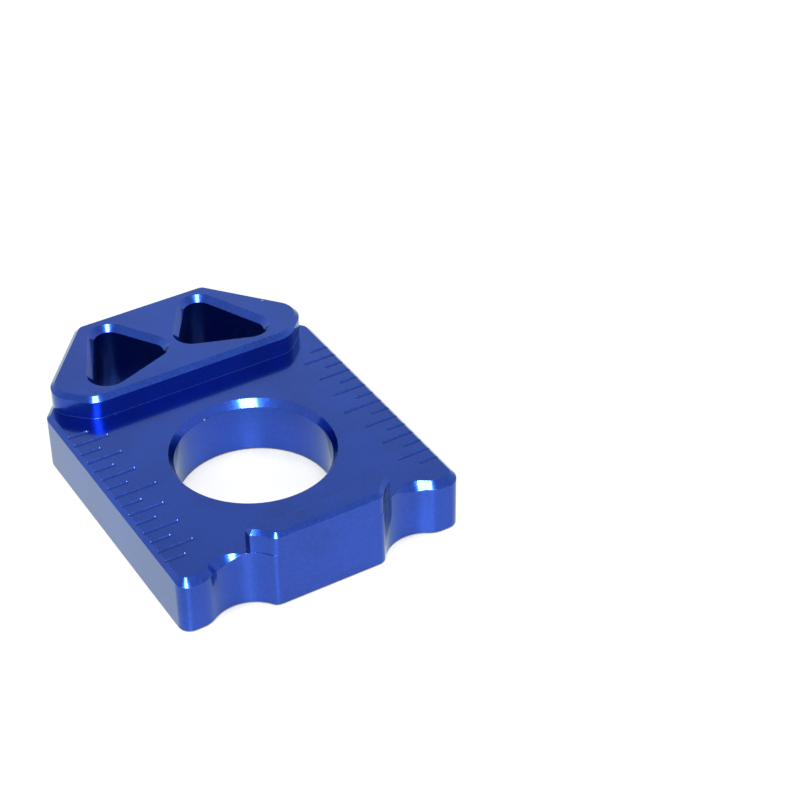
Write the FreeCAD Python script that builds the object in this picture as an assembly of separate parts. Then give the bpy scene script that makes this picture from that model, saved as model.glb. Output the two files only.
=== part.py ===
import FreeCAD, Part
import math
import os

# A rear axle block that sets the chain tension of a motorcycle, machined from one piece of aluminium.
# The origin is where the axle's centre line meets the underside. +Z runs along the axle, +Y points to
# the tail end, and the adjuster bolt bears on the flat of the nose at -Y. Sizes are in millimetres.

# Plate
plateWidth = 49.0
plateThickness = 10.0
stepHeight = 4.0            # how far the head and the nose bar stand above the plate
edgeChamfer = 0.8
undersideBreak = 0.3

# Axle bore
axleDiameter = 25.0
axleClearance = 0.4
boreLeadWidth = 0.8
boreLeadDepth = 1.35

# Tail end, whose two corners are cut off at a slant
tailReach = 40.8            # axle centre to the tail edge
tailWidth = 23.7
tailSlantLength = 15.3      # measured along the side
tailCornerRadius = 2.0

# Head, the raised part behind the axle
headFaceReach = 20.0        # axle centre to the wall that stops the flat of the axle's head
headFaceWidth = 35.8
headTurnBack = 45.0         # degrees that the head's front corners turn back
headFaceRadius = 4.0
headSideRadius = 4.2

# Nose, with the raised bar that the adjuster bolt pushes on
noseReach = 24.7            # axle centre to the flat
noseCornerRadius = 1.6
noseBarDepth = 4.3
noseBarWidth = 24.4         # across its back
noseBarInset = 0.12         # ledge at the foot of the bar's curved ends
noseBarChamfer = 0.7

# Lugs, and the scallops between them and the nose
lugWidth = 4.7              # from the side to the scallop, before its edge is rounded
lugSetback = 1.7            # from the nose's flat back to the front of a lug
lugChamfer = 1.2
lugCornerRadius = 2.0
lugBlendRadius = 4.0
scallopRadius = 6.5
scallopDepth = 3.5          # from the nose's flat to the deepest point
scallopChamfer = 1.2        # at its widest, on the lug's side: it runs out before the nose bar
scallopChamferRadius = 4.2  # of the arc that it leaves on the plate's top
scallopChamferTurn = 18.0   # degrees from straight back to its widest place, towards the lug

# Lightening pockets, one on each side of the centre line, each the hull of three round corners.
# A corner's arc centre lies so far from the centre line, and so far in from the tail edge or back
# from the head's wall.
pocketRadius = 2.5
pocketChamfer = 1.0
pocketTailCorner = (8.4, 5.6)
pocketInnerCorner = (4.2, 8.7)
pocketOuterCorner = (13.0, 5.5)

# Graduations along both sides, cut with a ball-nosed engraver: short and long ones by turns
markPitch = 2.5
marksEachWay = 7            # on either side of the middle mark
markCentre = 0.5            # how far the middle mark lies behind the axle's centre line
shortMark = 3.8
longMark = 6.3
middleMark = 7.5
engraverRadius = 0.4
markDepth = 0.25

up = FreeCAD.Vector(0, 0, 1)
fullHeight = plateThickness + stepHeight
boreRadius = (axleDiameter + axleClearance) / 2
tailSlope = math.atan2(tailSlantLength, (plateWidth - tailWidth) / 2)
lugReach = noseReach - lugSetback
scallopCentre = noseReach - scallopDepth + scallopRadius
scallopHalfChord = math.sqrt(scallopRadius ** 2 - (scallopCentre - lugReach) ** 2)
scallopOffset = plateWidth / 2 - lugWidth - scallopHalfChord


def vec(x, y, z=0.0):
    return FreeCAD.Vector(x, y, z)


def roundedWire(corners):
    """Closed wire through corner points (x, y, radius), with an arc of that radius at each corner."""
    arcs = []
    for i, (x, y, radius) in enumerate(corners):
        here = vec(x, y)
        before = vec(*corners[i - 1][:2]) - here
        after = vec(*corners[(i + 1) % len(corners)][:2]) - here
        half = before.getAngle(after) / 2
        before.normalize()
        after.normalize()
        middle = (before + after).normalize() * (radius / math.sin(half) - radius)
        reach = radius / math.tan(half)
        arcs.append((here + before * reach, here + middle, here + after * reach))
    edges = []
    for i, (start, middle, end) in enumerate(arcs):
        edges.append(Part.Arc(start, middle, end).toShape())
        edges.append(Part.LineSegment(end, arcs[(i + 1) % len(arcs)][0]).toShape())
    return Part.Wire(edges)


def mirroredCorners(rightSide):
    """Corners listed down the right side, then their mirror images back up the left one."""
    return rightSide + [(-x, y, radius) for x, y, radius in reversed(rightSide)]


def raised(wire, bottom, top):
    face = Part.Face(wire)
    face.translate(up * bottom)
    return face.extrude(up * (top - bottom))


def edgesAt(solid, height):
    """Edges that lie flat at one height."""
    return [edge for edge in solid.Edges
            if abs(edge.BoundBox.ZMin - height) < 1e-6 and abs(edge.BoundBox.ZMax - height) < 1e-6]


def uprightEdgesAt(solid, places):
    """Upright edges that stand at any of the plan places (x, y)."""
    upright = [edge for edge in solid.Edges
               if edge.BoundBox.ZLength > 1.0 and edge.BoundBox.XLength + edge.BoundBox.YLength < 1e-5]
    return [edge for edge in upright
            if any(math.hypot(edge.BoundBox.XMin - x, edge.BoundBox.YMin - y) < 1e-4 for x, y in places)]


def cutterPair(offset, centre, radius):
    """Two upright round cutters, side by side at y = -centre."""
    return [Part.makeCylinder(radius, fullHeight, vec(side * offset, -centre)) for side in (-1, 1)]


def crossings(offset, centre, radius, reach, outward):
    """Where the circles of such a pair cross the line y = -reach, on their outer or their inner side."""
    x = offset + outward * math.sqrt(radius ** 2 - (centre - reach) ** 2)
    return [(x, -reach), (-x, -reach)]


def plateBody(grown, lugFront):
    """Prism of the tail with its slanted corners, the sides and the lugs, without the nose."""
    tailX = tailWidth / 2 + grown * (1 - math.cos(tailSlope)) / math.sin(tailSlope)
    slantEnd = tailReach - tailSlantLength + grown * math.tan(tailSlope / 2)
    corners = [(tailX, tailReach + grown, tailCornerRadius + grown),
               (plateWidth / 2 + grown, slantEnd, tailCornerRadius + grown),
               (plateWidth / 2 + grown, -lugFront, lugCornerRadius + grown)]
    return raised(roundedWire(mirroredCorners(corners)), 0.0, plateThickness)


def plateBlank():
    """The plate with sharp edges: body and nose, less the two scallops."""
    nose = Part.makeBox(2 * scallopOffset, noseReach, plateThickness, vec(-scallopOffset, -noseReach))
    scallops = cutterPair(scallopOffset, scallopCentre, scallopRadius)
    blank = plateBody(0.0, lugReach).fuse(nose).cut(scallops).removeSplitter()
    corners = crossings(scallopOffset, scallopCentre, scallopRadius, noseReach, -1)
    blank = blank.makeFillet(noseCornerRadius, uprightEdgesAt(blank, corners))
    blends = crossings(scallopOffset, scallopCentre, scallopRadius, lugReach, 1)
    return blank.makeFillet(lugBlendRadius, uprightEdgesAt(blank, blends))


def chamferTrimmer():
    """What the chamfered plate lies within: a grown body with one even chamfer, grown least where most is
    to come off, and a plain block around the nose. In a scallop the chamfer follows its own arc."""
    bevel = 1.5 * max(edgeChamfer, lugChamfer, scallopChamfer)
    lugFront = lugReach + bevel - lugChamfer
    turn = math.radians(scallopChamferTurn)
    shift = scallopRadius + scallopChamfer - scallopChamferRadius
    offset = scallopOffset + shift * math.sin(turn)
    centre = scallopCentre - shift * math.cos(turn)
    radius = scallopChamferRadius - bevel
    body = plateBody(bevel - edgeChamfer, lugFront).cut(cutterPair(offset, centre, radius))
    blends = uprightEdgesAt(body, crossings(offset, centre, radius, lugFront, 1))
    body = body.makeFillet(lugBlendRadius + bevel - lugChamfer, blends)
    body = body.makeChamfer(bevel, edgesAt(body, plateThickness))
    depth = noseReach + bevel
    return body.fuse(Part.makeBox(noseBarWidth, depth, plateThickness, vec(-noseBarWidth / 2, -depth)))


def plate():
    """Plate with its top edge chamfered: widest on the lugs and none around the nose bar."""
    return plateBlank().common(chamferTrimmer())


def head():
    """Raised head: the plate's slanted tail, closed in front by the wall that faces the axle."""
    turn = math.radians(headTurnBack)
    faceX = headFaceWidth / 2
    tailX = tailWidth / 2
    # the front corner's slant, going back from the face, meets the tail's slant after this run along x
    depth = tailReach - headFaceReach
    run = (depth + (tailX - faceX) * math.tan(tailSlope)) / (math.tan(turn) + math.tan(tailSlope))
    corners = [(tailX, tailReach, tailCornerRadius),
               (faceX + run, headFaceReach + run * math.tan(turn), headSideRadius),
               (faceX, headFaceReach, headFaceRadius)]
    body = raised(roundedWire(mirroredCorners(corners)), plateThickness / 2, fullHeight)
    return body.makeChamfer(edgeChamfer, edgesAt(body, fullHeight))


def noseBar():
    """Raised bar on the nose, set in a little from the scallops. It is what two chamfered blanks share:
    one follows the nose and the scallops, the other the bar's back and its ends."""
    radius = scallopRadius + noseBarInset
    nose = Part.makeBox(plateWidth, noseReach, fullHeight, vec(-plateWidth / 2, -noseReach))
    nose = nose.cut(cutterPair(scallopOffset, scallopCentre, radius))
    corners = crossings(scallopOffset, scallopCentre, radius, noseReach, -1)
    nose = nose.makeFillet(noseCornerRadius, uprightEdgesAt(nose, corners))
    nose = nose.makeChamfer(noseBarChamfer, edgesAt(nose, fullHeight))
    foot = plateThickness / 2
    front = noseBarDepth - 2 * noseReach
    back = Part.makeBox(noseBarWidth, noseReach, fullHeight - foot, vec(-noseBarWidth / 2, front, foot))
    back = back.makeChamfer(noseBarChamfer, edgesAt(back, fullHeight))
    return nose.common(back)


def boreCutter():
    """The axle bore, with its tapered lead at the top."""
    leadRadius = boreRadius + boreLeadWidth
    profile = [(0, 0), (boreRadius, 0), (boreRadius, plateThickness - boreLeadDepth),
               (leadRadius, plateThickness), (leadRadius, fullHeight), (0, fullHeight)]
    points = [vec(x, 0, z) for x, z in profile]
    return Part.Face(Part.makePolygon(points + points[:1])).revolve(vec(0, 0), up, 360)


def pocketOutline(side, radius, height):
    """Hull of the three corner arcs of one pocket, all of one radius."""
    places = [(pocketTailCorner[0], tailReach - pocketTailCorner[1]),
              (pocketInnerCorner[0], headFaceReach + pocketInnerCorner[1]),
              (pocketOuterCorner[0], headFaceReach + pocketOuterCorner[1])]
    centres = [vec(side * x, y) for x, y in places]
    corners = []
    for i, here in enumerate(centres):
        before = centres[i - 1] - here
        after = centres[(i + 1) % 3] - here
        half = before.getAngle(after) / 2
        inward = (before.normalize() + after.normalize()).normalize()
        corner = here - inward * (radius / math.sin(half))
        corners.append((corner.x, corner.y, radius))
    wire = roundedWire(corners)
    wire.translate(up * height)
    return wire


def pocketCutters(side):
    """One pocket, right through the block, and the chamfer around its mouth."""
    hole = raised(pocketOutline(side, pocketRadius, 0.0), 0.0, fullHeight)
    rim = Part.makeLoft([pocketOutline(side, pocketRadius, fullHeight - pocketChamfer),
                         pocketOutline(side, pocketRadius + 2 * pocketChamfer, fullHeight + pocketChamfer)],
                        True, True)
    return [hole, rim]


def roundEndedBar(end, along, length, radius):
    """Bar turned about its own axis, with a ball at its start that is centred on end."""
    shoulder = end + up * radius
    far = end + along * length
    ball = Part.Arc(end - along * radius, end + (up - along) * (radius * math.sqrt(0.5)), shoulder)
    corners = [shoulder, far + up * radius, far, end - along * radius]
    profile = Part.Wire([ball.toShape()] + Part.makePolygon(corners).Edges)
    return Part.Face(profile).revolve(end, along, 360)


def markCutters(side):
    """Round-ended grooves in from one side, long ones and short ones by turns from the middle mark."""
    height = plateThickness + engraverRadius - markDepth
    cutters = []
    for step in range(-marksEachWay, marksEachWay + 1):
        length = middleMark if step == 0 else longMark if step % 2 == 0 else shortMark
        end = vec(side * (plateWidth / 2 - length), markCentre + step * markPitch, height)
        cutters.append(roundEndedBar(end, vec(side, 0), length + engraverRadius, engraverRadius))
    return cutters


block = plate().fuse([head(), noseBar()]).removeSplitter()
block = block.cut([boreCutter()] + pocketCutters(-1) + pocketCutters(1))
block = block.makeChamfer(undersideBreak, edgesAt(block, 0.0))
block = block.cut(markCutters(-1) + markCutters(1))
os.makedirs("parts", exist_ok=True)
block.exportStep("parts/axle_block.step")
print(block.isValid(), block.Volume, len(block.Solids), len(block.Faces), block.BoundBox)
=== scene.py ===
import math
import bmesh
import bpy
from mathutils import Matrix, Vector


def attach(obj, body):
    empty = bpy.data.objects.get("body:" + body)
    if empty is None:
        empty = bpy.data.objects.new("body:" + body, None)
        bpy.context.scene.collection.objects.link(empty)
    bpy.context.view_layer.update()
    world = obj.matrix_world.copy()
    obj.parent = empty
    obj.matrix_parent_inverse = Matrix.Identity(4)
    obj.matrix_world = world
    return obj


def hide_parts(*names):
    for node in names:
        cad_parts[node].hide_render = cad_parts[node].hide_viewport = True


# A blue anodised axle block of a motorcycle's chain adjuster, in a white light tent.
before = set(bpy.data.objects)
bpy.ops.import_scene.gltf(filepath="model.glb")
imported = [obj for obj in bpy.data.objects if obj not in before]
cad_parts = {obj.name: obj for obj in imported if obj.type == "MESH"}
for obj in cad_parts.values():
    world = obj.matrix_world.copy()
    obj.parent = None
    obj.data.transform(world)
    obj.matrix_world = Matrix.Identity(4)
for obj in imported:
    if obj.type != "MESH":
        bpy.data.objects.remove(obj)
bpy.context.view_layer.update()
mm = 0.001
print("stage: frame loaded, nodes", sorted(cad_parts))


def aimed(place, aim, rollDegrees=0.0):
    # Matrix of a camera or lamp that stands at place and looks at aim: its own -Z points there, and
    # a positive roll tips its right side down.
    forward = (Vector(aim) - Vector(place)).normalized()
    right = forward.cross(Vector((0, 0, 1))).normalized()
    above = right.cross(forward)
    roll = math.radians(rollDegrees)
    tippedRight = right * math.cos(roll) - above * math.sin(roll)
    tippedUp = above * math.cos(roll) + right * math.sin(roll)
    turned = Matrix((tippedRight, tippedUp, -forward)).transposed().to_4x4()
    return Matrix.Translation(Vector(place)) @ turned


def direction(azimuth, elevation):
    # Unit vector towards a point of the sky, with azimuth counted from +X towards +Y
    a = math.radians(azimuth)
    e = math.radians(elevation)
    return Vector((math.cos(a) * math.cos(e), math.sin(a) * math.cos(e), math.sin(e)))


def linked(name, data):
    thing = bpy.data.objects.new(name, data)
    bpy.context.scene.collection.objects.link(thing)
    return thing


# Camera
viewpoint = {
    "place": (-0.1173, -0.2399, 0.2199),
    "aim": (0.03337, 0.01011, 0.0),
    "rollDegrees": 0.456,
    "lens": 96.0,                       # mm, as the sensor
    "sensor": 36.0,
    "clipStart": 0.01,
}


def makeCamera(view):
    data = bpy.data.cameras.new("camera")
    data.lens = view["lens"]
    data.sensor_width = view["sensor"]
    data.clip_start = view["clipStart"]
    camera = linked("camera", data)
    camera.matrix_world = aimed(view["place"], view["aim"], view["rollDegrees"])
    bpy.context.scene.camera = camera


# Light tent: white walls under a dimmer roof, two soft lamps and a floor of white paper, whose glow is
# painted darker where the block closes its sky
tent = {
    "roofEdge": (0.53, 0.74),           # a direction's z, between which the walls turn into the roof
    "walls": 1.0,
    "roof": 0.66,
    "fill": 0.7,                        # what walls and roof give to matt surfaces
    "lampAzimuth": -113.0,
    "lampElevations": (24.0, 53.0),
    "lampDistance": 0.9,
    "lampAim": (0.0, 0.0, 0.01),
    "lampWidth": 0.34,
    "lampHeight": 0.24,
    "lampWatts": 8.0,                   # each
    "floorHalf": 3.0,
    "paper": 0.85,                      # as it passes light on to other surfaces
    "glow": 0.73,                       # white that it shows of its own where the sky is open, faded into painted shade where it is closed
    "litShare": 0.2,                    # white that it shows only where it is lit
    "paintedShadeReach": 0.014,                 # how far round itself it looks for something over it, to paint shade
    "paintedShadeSamples": 8,
    "paintedShadeSky": (0.2, 0.45),             # shares of open sky between which the glow comes up; below them the floor shows painted shade
    "satin": 0.055,
    "satinRoughness": 0.3,
}


def seenRay(nodes, links):
    # 1 on rays that show a surface to the camera, in a mirror or through glass, and 0 on the others
    path = nodes.new("ShaderNodeLightPath")
    total = path.outputs["Is Camera Ray"]
    for name in ("Is Glossy Ray", "Is Transmission Ray"):
        total = combined(nodes, links, "MAXIMUM", total, path.outputs[name])
    return total


def ranged(nodes, links, source, low, high, outLow=0.0, outHigh=1.0):
    # Smooth step of source from low to high
    step = nodes.new("ShaderNodeMapRange")
    step.interpolation_type = "SMOOTHSTEP"
    step.inputs["From Min"].default_value = low
    step.inputs["From Max"].default_value = high
    step.inputs["To Min"].default_value = outLow
    step.inputs["To Max"].default_value = outHigh
    links.new(source, step.inputs["Value"])
    return step.outputs["Result"]


def combined(nodes, links, operation, a, b):
    # Math of two sockets, or of a socket and a number
    step = nodes.new("ShaderNodeMath")
    step.operation = operation
    for value, socket in ((a, step.inputs[0]), (b, step.inputs[1])):
        if isinstance(value, (int, float)):
            socket.default_value = value
        else:
            links.new(value, socket)
    return step.outputs[0]


def added(nodes, links, a, b):
    # Sum of two shaders
    both = nodes.new("ShaderNodeAddShader")
    links.new(a.outputs[0], both.inputs[0])
    links.new(b.outputs[0], both.inputs[1])
    return both


def seenAs(nodes, links, others, shown, out):
    # Sends shown to the rays that show a surface, and others to the rest
    mix = nodes.new("ShaderNodeMixShader")
    links.new(seenRay(nodes, links), mix.inputs["Fac"])
    links.new(others.outputs[0], mix.inputs[1])
    links.new(shown.outputs[0], mix.inputs[2])
    links.new(mix.outputs[0], out.inputs["Surface"])


def makeWorld(look):
    world = bpy.data.worlds.new("tent")
    bpy.context.scene.world = world
    world.use_nodes = True
    nodes = world.node_tree.nodes
    links = world.node_tree.links
    nodes.clear()
    out = nodes.new("ShaderNodeOutputWorld")
    fill = nodes.new("ShaderNodeBackground")
    fill.inputs["Color"].default_value = (1, 1, 1, 1)
    fill.inputs["Strength"].default_value = look["fill"]
    walls = nodes.new("ShaderNodeBackground")
    walls.inputs["Color"].default_value = (1, 1, 1, 1)
    sky = nodes.new("ShaderNodeTexCoord")
    parts = nodes.new("ShaderNodeSeparateXYZ")
    links.new(sky.outputs["Generated"], parts.inputs[0])
    strength = ranged(nodes, links, parts.outputs["Z"], *look["roofEdge"], look["walls"], look["roof"])
    links.new(strength, walls.inputs["Strength"])
    seenAs(nodes, links, fill, walls, out)


def makeLamp(look, name, elevation):
    data = bpy.data.lights.new(name, "AREA")
    data.shape = "ELLIPSE"
    data.size = look["lampWidth"]
    data.size_y = look["lampHeight"]
    data.energy = look["lampWatts"]
    lamp = linked(name, data)
    place = Vector(look["lampAim"]) + direction(look["lampAzimuth"], elevation) * look["lampDistance"]
    lamp.matrix_world = aimed(place, look["lampAim"])


def makeFloor(look):
    half = look["floorHalf"]
    mesh = bpy.data.meshes.new("floor")
    corners = [(-half, -half, 0), (half, -half, 0), (half, half, 0), (-half, half, 0)]
    mesh.from_pydata(corners, [], [(0, 1, 2, 3)])
    floor = linked("floor", mesh)
    paint = bpy.data.materials.new("floorPaper")
    paint.use_nodes = True
    nodes = paint.node_tree.nodes
    links = paint.node_tree.links
    nodes.clear()
    out = nodes.new("ShaderNodeOutputMaterial")
    paper = nodes.new("ShaderNodeBsdfDiffuse")
    paper.inputs["Color"].default_value = (look["paper"],) * 3 + (1,)
    lit = nodes.new("ShaderNodeBsdfDiffuse")
    lit.inputs["Color"].default_value = (look["litShare"],) * 3 + (1,)
    satin = nodes.new("ShaderNodeBsdfAnisotropic")
    satin.inputs["Color"].default_value = (look["satin"],) * 3 + (1,)
    satin.inputs["Roughness"].default_value = look["satinRoughness"]
    # Painted shade: ambient occlusion fades the glow, so it ends at the bottom of a pocket and dims
    # under and beside the block, where hardly any sky is open.
    sky = nodes.new("ShaderNodeAmbientOcclusion")
    sky.samples = look["paintedShadeSamples"]
    sky.inputs["Distance"].default_value = look["paintedShadeReach"]
    glow = nodes.new("ShaderNodeEmission")
    strength = ranged(nodes, links, sky.outputs["AO"], *look["paintedShadeSky"], 0.0, look["glow"])
    links.new(strength, glow.inputs["Strength"])
    shown = added(nodes, links, added(nodes, links, lit, glow), satin)
    seenAs(nodes, links, paper, shown, out)
    mesh.materials.append(paint)


makeCamera(viewpoint)
makeWorld(tent)
for lampName, lampElevation in zip(("lowLamp", "highLamp"), tent["lampElevations"]):
    makeLamp(tent, lampName, lampElevation)
makeFloor(tent)
print("stage: camera, tent, lamps and floor")

# Blue anodising: clear oxide over dyed oxide over blasted aluminium
anodising = {
    "dye": (0.0125, 0.058, 0.385),      # what is left of white light after one reflection
    "edgeTint": (0.52, 0.68, 0.55),     # the same at a grazing angle, against white
    "flatRoughness": 0.2,               # faces that look straight up or down
    "chamferRoughness": 0.25,           # chamfers and grooves
    "wallRoughness": 0.31,              # upright walls, off the cutter's side
    "wallSlope": (0.1, 0.6),            # a normal's z, between which walls turn into chamfers
    "flatSlope": (0.75, 0.97),          # and chamfers into flat faces
    "roughnessSpread": 0.02,
    "oxideIor": 1.3,
    "oxideRoughness": 0.08,
    "edgeRadius": 0.09 * mm,
    "edgeSamples": 8,
    "noiseSpan": (0.3, 0.7),            # what most of a noise lies between
    "grainSize": 0.25 * mm,
    "grainDetail": 1.5,
    "grainHeight": 0.0003 * mm,
    "cloudSize": 9.0 * mm,              # patches that took the dye a little better or worse
    "cloudDetail": 2.0,
    "cloudDepth": 0.08,
    "speckSize": 0.5 * mm,
    "speckDetail": 2.0,
    "speckDepth": 0.07,
    "bare": (0.42, 0.5, 0.66),          # where the dye is rubbed thin
    "rubRadius": 0.3 * mm,              # how far from an edge it is
    "rubSamples": 4,
    "rubTurn": (0.04, 0.2),             # turn of the edge, as 1 minus a cosine, from none to all
    "rubSpecks": (0.4, 0.65),
    "rubAmount": 0.1,
    "nickRadius": 0.16 * mm,
    "nickFade": (0.6, 1.3),             # shares of that radius
    "nicks": ((18.5, 30.8, 14.0), (15.3, 25.9, 14.0), (-14.7, 19.8, 10.0), (-2.4, 12.47, 8.65)),
    "hairlineWidth": 0.09 * mm,         # fine scratches from wiping and handling, on the flat faces
    "hairlineLength": 5.0 * mm,
    "hairlineTurns": (17.0, 104.0),     # degrees from the X axis, one for each set
    "hairlineRidge": (0.66, 0.8),       # the top of the noise, which is all that shows
    "hairlineAmount": 0.06,
}


def noisePattern(nodes, links, place, size, detail):
    pattern = nodes.new("ShaderNodeTexNoise")
    pattern.inputs["Scale"].default_value = 1 / size
    pattern.inputs["Detail"].default_value = detail
    links.new(place, pattern.inputs["Vector"])
    return pattern.outputs["Fac"]


def hairlines(nodes, links, place, look, turn):
    # Noise drawn out along one direction in the XY plane, of which only the highest ridges are left
    length = look["hairlineLength"]
    turned = nodes.new("ShaderNodeMapping")
    turned.vector_type = "TEXTURE"
    turned.inputs["Rotation"].default_value = (0, 0, math.radians(turn))
    turned.inputs["Scale"].default_value = (length, look["hairlineWidth"], length)
    links.new(place, turned.inputs["Vector"])
    drawn = noisePattern(nodes, links, turned.outputs["Vector"], 1.0, 1.0)
    return ranged(nodes, links, drawn, *look["hairlineRidge"])


def nearAny(nodes, links, place, spots, radius, fade):
    # 1 within about radius of one of the spots, in millimetres, and 0 further away
    total = 0.0
    for spot in spots:
        far = nodes.new("ShaderNodeVectorMath")
        far.operation = "DISTANCE"
        far.inputs[1].default_value = Vector(spot) * mm
        links.new(place, far.inputs[0])
        inner, outer = (share * radius for share in fade)
        close = ranged(nodes, links, far.outputs["Value"], inner, outer, 1.0, 0.0)
        total = combined(nodes, links, "MAXIMUM", close, total)
    return total


def makeAnodising(look):
    material = bpy.data.materials.new("blueAnodising")
    material.use_nodes = True
    nodes = material.node_tree.nodes
    links = material.node_tree.links
    nodes.clear()
    out = nodes.new("ShaderNodeOutputMaterial")
    metal = nodes.new("ShaderNodeBsdfPrincipled")
    metal.inputs["Metallic"].default_value = 1.0
    metal.inputs["Specular Tint"].default_value = look["edgeTint"] + (1,)
    metal.inputs["Coat Weight"].default_value = 1.0
    metal.inputs["Coat IOR"].default_value = look["oxideIor"]
    metal.inputs["Coat Roughness"].default_value = look["oxideRoughness"]
    coordinates = nodes.new("ShaderNodeTexCoord")
    place = coordinates.outputs["Object"]
    grain = noisePattern(nodes, links, place, look["grainSize"], look["grainDetail"])
    cloud = noisePattern(nodes, links, place, look["cloudSize"], look["cloudDetail"])
    speck = noisePattern(nodes, links, place, look["speckSize"], look["speckDetail"])

    def calc(operation, a, b):
        return combined(nodes, links, operation, a, b)

    def step(source, span, outLow=0.0, outHigh=1.0):
        return ranged(nodes, links, source, *span, outLow, outHigh)

    # Bump: blasted grain, on normals that round each edge a little
    edge = nodes.new("ShaderNodeBevel")
    edge.samples = look["edgeSamples"]
    edge.inputs["Radius"].default_value = look["edgeRadius"]
    bump = nodes.new("ShaderNodeBump")
    bump.inputs["Distance"].default_value = look["grainHeight"]
    links.new(grain, bump.inputs["Height"])
    links.new(edge.outputs["Normal"], bump.inputs["Normal"])
    links.new(bump.outputs["Normal"], metal.inputs["Normal"])
    links.new(bump.outputs["Normal"], metal.inputs["Coat Normal"])

    # Roughness: from the way a face looks, with a fine spread
    facing = nodes.new("ShaderNodeSeparateXYZ")
    links.new(coordinates.outputs["Normal"], facing.inputs[0])
    slope = calc("ABSOLUTE", facing.outputs["Z"], 0.0)
    flatness = step(slope, look["flatSlope"])
    level = calc("ADD", step(slope, look["wallSlope"], look["wallRoughness"], look["chamferRoughness"]),
                 step(flatness, (0.0, 1.0), 0.0, look["flatRoughness"] - look["chamferRoughness"]))
    spread = step(speck, look["noiseSpan"], -look["roughnessSpread"], look["roughnessSpread"])
    links.new(calc("ADD", level, spread), metal.inputs["Roughness"])

    # Colour: the dye, a little uneven, rubbed thin at edges, in hairlines and at nicks
    uneven = calc("ADD", step(cloud, look["noiseSpan"], -look["cloudDepth"], look["cloudDepth"]),
                  step(speck, look["noiseSpan"], -look["speckDepth"], look["speckDepth"]))
    dyed = nodes.new("ShaderNodeVectorMath")
    dyed.operation = "SCALE"
    dyed.inputs[0].default_value = look["dye"]
    links.new(calc("ADD", uneven, 1.0), dyed.inputs["Scale"])
    worn = nodes.new("ShaderNodeBevel")
    worn.samples = look["rubSamples"]
    worn.inputs["Radius"].default_value = look["rubRadius"]
    geometry = nodes.new("ShaderNodeNewGeometry")
    turn = nodes.new("ShaderNodeVectorMath")
    turn.operation = "DOT_PRODUCT"
    links.new(worn.outputs["Normal"], turn.inputs[0])
    links.new(geometry.outputs["Normal"], turn.inputs[1])
    atEdge = step(calc("SUBTRACT", 1.0, turn.outputs["Value"]), look["rubTurn"])
    rubbed = calc("MULTIPLY", step(speck, look["rubSpecks"]), look["rubAmount"])
    rubbed = calc("MULTIPLY", rubbed, atEdge)
    for degrees in look["hairlineTurns"]:
        lines = calc("MULTIPLY", hairlines(nodes, links, place, look, degrees), flatness)
        rubbed = calc("MAXIMUM", rubbed, calc("MULTIPLY", lines, look["hairlineAmount"]))
    nicked = nearAny(nodes, links, place, look["nicks"], look["nickRadius"], look["nickFade"])
    colour = nodes.new("ShaderNodeMix")
    colour.data_type = "RGBA"
    links.new(calc("MAXIMUM", rubbed, nicked), colour.inputs[0])
    links.new(dyed.outputs["Vector"], colour.inputs[6])     # A of its colours, and B is the next
    colour.inputs[7].default_value = look["bare"] + (1,)
    links.new(colour.outputs[2], metal.inputs["Base Color"])
    links.new(metal.outputs[0], out.inputs["Surface"])
    return material


# The block: its own solid, welded, smooth over its curves and sharp at its machined edges
block = {
    "node": "axle_block",
    "slot": "anodised_aluminium",
    "weld": 0.0005 * mm,
    "sharpDegrees": 28.0,
    "flatWeight": 90,                   # how far big faces lead the shading, of 100
}


def makeBlock(look, material):
    mesh = bpy.data.meshes.new("axleBlock")
    work = bmesh.new()
    work.from_mesh(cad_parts[look["node"]].data)
    bmesh.ops.remove_doubles(work, verts=work.verts, dist=look["weld"])
    limit = math.radians(look["sharpDegrees"])
    for edge in work.edges:
        edge.smooth = len(edge.link_faces) == 2 and edge.calc_face_angle() < limit
    for face in work.faces:
        face.smooth = True
        face.material_index = 0
    openEdges = sum(len(edge.link_faces) != 2 for edge in work.edges)
    print("block: open edges", openEdges, "faces", len(work.faces))
    work.to_mesh(mesh)
    work.free()
    piece = linked("axleBlock", mesh)
    mesh.materials.clear()
    mesh.materials.append(material)
    level = piece.modifiers.new("flatFacesLead", "WEIGHTED_NORMAL")
    level.keep_sharp = True
    level.weight = look["flatWeight"]
    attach(piece, "root")
    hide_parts(look["node"])


makeBlock(block, makeAnodising(anodising))
print("stage: block dressed")

bpy.context.scene.view_settings.view_transform = "Standard"
